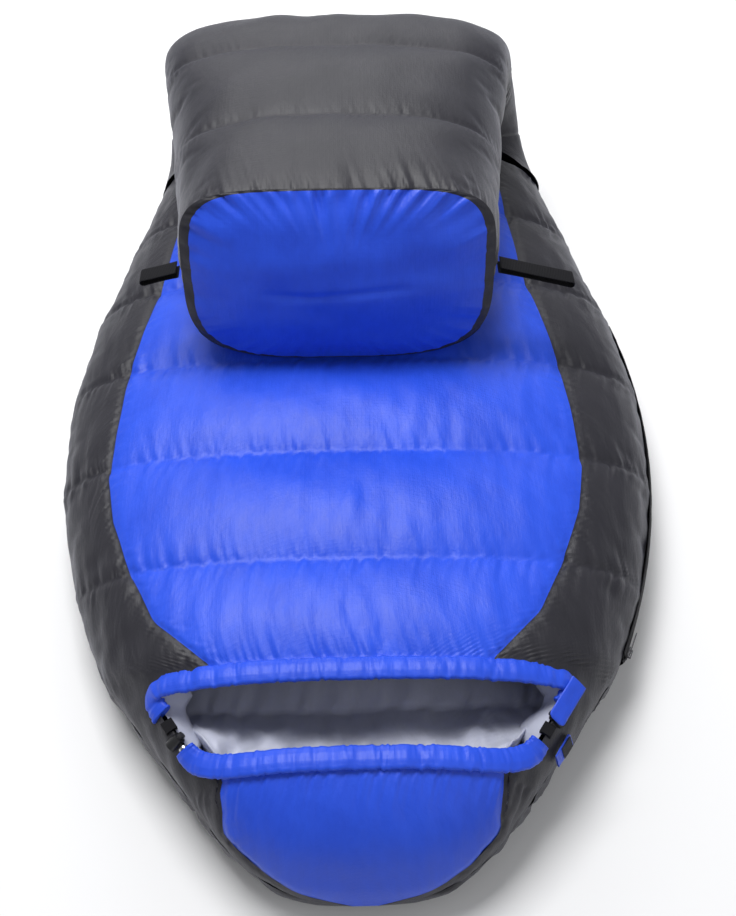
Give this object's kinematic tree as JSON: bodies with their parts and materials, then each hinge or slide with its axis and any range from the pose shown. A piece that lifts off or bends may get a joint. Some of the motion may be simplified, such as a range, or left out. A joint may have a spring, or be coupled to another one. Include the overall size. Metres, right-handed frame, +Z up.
{
  "type": "mummy sleeping bag",
  "caption": "Padded down mummy sleeping bag lying flat with its foot end folded back, with hood, drawcords, zip and hang loops.",
  "frame": {"origin": "on the floor, under the middle of the bag as it lies folded", "axes": "+Z up, +Y from the hood towards the fold, +X to the zip side"},
  "size_m": [0.8352, 1.3916, 0.436],
  "materials": {
    "blue_shell": "light ripstop nylon, royal blue, soft sheen",
    "charcoal_shell": "light ripstop nylon, charcoal, soft sheen",
    "lining": "plain-woven grey nylon lining",
    "baffle_mesh": "fine mesh walls between the down chambers",
    "down_fill": "lofted down",
    "cord": "braided cord and sewn anchors",
    "zip_tape": "woven zip tape",
    "zip_coil": "moulded zip coil",
    "zip_metal": "dark enamelled slider, puller and stops",
    "eyelet_metal": "pressed eyelets",
    "spring_steel": "spring wire",
    "lock_plastic": "moulded black acetal",
    "hook_and_loop": "hook and loop tape",
    "webbing": "woven polyester webbing"
  },
  "bodies": {
    "torso": {"base_shell": "charcoal_shell", "base_down": "down_fill", "base_baffle_walls": "baffle_mesh", "base_lining": "lining", "chest_shell": "blue_shell", "chest_down": "down_fill", "chest_baffle_walls": "baffle_mesh", "chest_lining": "lining", "left_side_shell": "charcoal_shell", "left_side_down": "down_fill", "right_side_shell": "charcoal_shell", "right_side_down": "down_fill", "hood_crown_shell": "blue_shell", "hood_crown_down": "down_fill", "hood_left_shell": "charcoal_shell", "hood_left_down": "down_fill", "hood_right_shell": "charcoal_shell", "hood_right_down": "down_fill", "hood_lining": "lining", "chest_rim": "blue_shell", "hood_rim": "blue_shell", "neck_drawcord": "cord", "hood_drawcord": "cord", "neck_collar": "lining", "eyelets": "eyelet_metal", "cord_anchors": "cord", "zip_tape_upper": "zip_tape", "zip_tape_lower": "zip_tape", "zip_coil_upper": "zip_coil", "zip_coil_lower": "zip_coil", "zip_stops": "zip_metal", "zip_draught_tube": "lining", "knee_fold_shell": "charcoal_shell", "knee_fold_down": "down_fill", "knee_fold_lining": "lining"},
    "foot_section": {"foot_back_shell": "charcoal_shell", "foot_back_down": "down_fill", "foot_front_shell": "charcoal_shell", "foot_front_panel": "blue_shell", "foot_front_down": "down_fill", "foot_lining": "lining", "foot_end_shell": "blue_shell", "foot_end_down": "down_fill", "foot_end_lining": "lining"},
    "left_loop": {"left_hang_loop": "webbing"},
    "right_loop": {"right_hang_loop": "webbing"},
    "slider": {"zip_slider": "zip_metal"},
    "puller": {"zip_puller": "zip_metal"},
    "left_lock": {"left_lock_barrel": "lock_plastic", "left_lock_spring": "spring_steel"},
    "left_plunger": {"left_lock_plunger": "lock_plastic"},
    "right_lock": {"right_lock_barrel": "lock_plastic", "right_lock_spring": "spring_steel"},
    "right_plunger": {"right_lock_plunger": "lock_plastic"},
    "upper_flap": {"upper_tab": "blue_shell", "upper_tab_hook_pad": "hook_and_loop"},
    "lower_flap": {"lower_tab": "blue_shell", "lower_tab_loop_pad": "hook_and_loop"}
  },
  "joints": [
    {"name": "foot_fold", "type": "hinge", "parent": "torso", "child": "foot_section", "pos_m": [0, 0.495, 0.2002], "axis": [-1, 0, 0], "range_deg": [0, 168], "deforming": ["knee_fold_shell", "knee_fold_down", "knee_fold_lining"]},
    {"name": "left_loop_swing", "type": "hinge", "parent": "foot_section", "child": "left_loop", "pos_m": [-0.23778, 0.05325, 0.31849], "axis": [0, -1, 0], "range_deg": [-70, 50]},
    {"name": "right_loop_swing", "type": "hinge", "parent": "foot_section", "child": "right_loop", "pos_m": [0.19778, 0.05325, 0.31849], "axis": [0, 1, 0], "range_deg": [-70, 50]},
    {"name": "zip_run", "type": "hinge", "parent": "torso", "child": "slider", "pos_m": [-0.4845, -0.015, 0.08], "axis": [0, 0, 1], "range_deg": [0, 35.5]},
    {"name": "puller_swing", "type": "hinge", "parent": "slider", "child": "puller", "pos_m": [0.33616, -0.40205, 0.08], "axis": [0, 0, -1], "range_deg": [0, 150]},
    {"name": "left_lock_run", "type": "slide", "parent": "torso", "child": "left_lock", "axis": [-0.5863, 0.8065, 0.0767], "range_m": [-0.0035, 0.0035]},
    {"name": "left_lock_press", "type": "slide", "parent": "left_lock", "child": "left_plunger", "axis": [-0.6899, -0.4473, -0.5692], "range_m": [0, 0.003], "stiffness_N_per_m": 300, "springref_m": -0.001, "deforming": ["left_lock_spring"]},
    {"name": "right_lock_run", "type": "slide", "parent": "torso", "child": "right_lock", "axis": [-0.5863, -0.8065, -0.0767], "range_m": [-0.0035, 0.0035]},
    {"name": "right_lock_press", "type": "slide", "parent": "right_lock", "child": "right_plunger", "axis": [0.6899, -0.4473, -0.5692], "range_m": [0, 0.003], "stiffness_N_per_m": 300, "springref_m": -0.001, "deforming": ["right_lock_spring"]},
    {"name": "upper_flap_lift", "type": "hinge", "parent": "torso", "child": "upper_flap", "pos_m": [0.25001, -0.47398, 0.15323], "axis": [-0.6899, 0.4473, 0.5692], "range_deg": [0, 100]},
    {"name": "lower_flap_lift", "type": "hinge", "parent": "torso", "child": "lower_flap", "pos_m": [0.21909, -0.54938, 0.10893], "axis": [0.2843, -0.2067, -0.9362], "range_deg": [0, 100]}
  ]
}
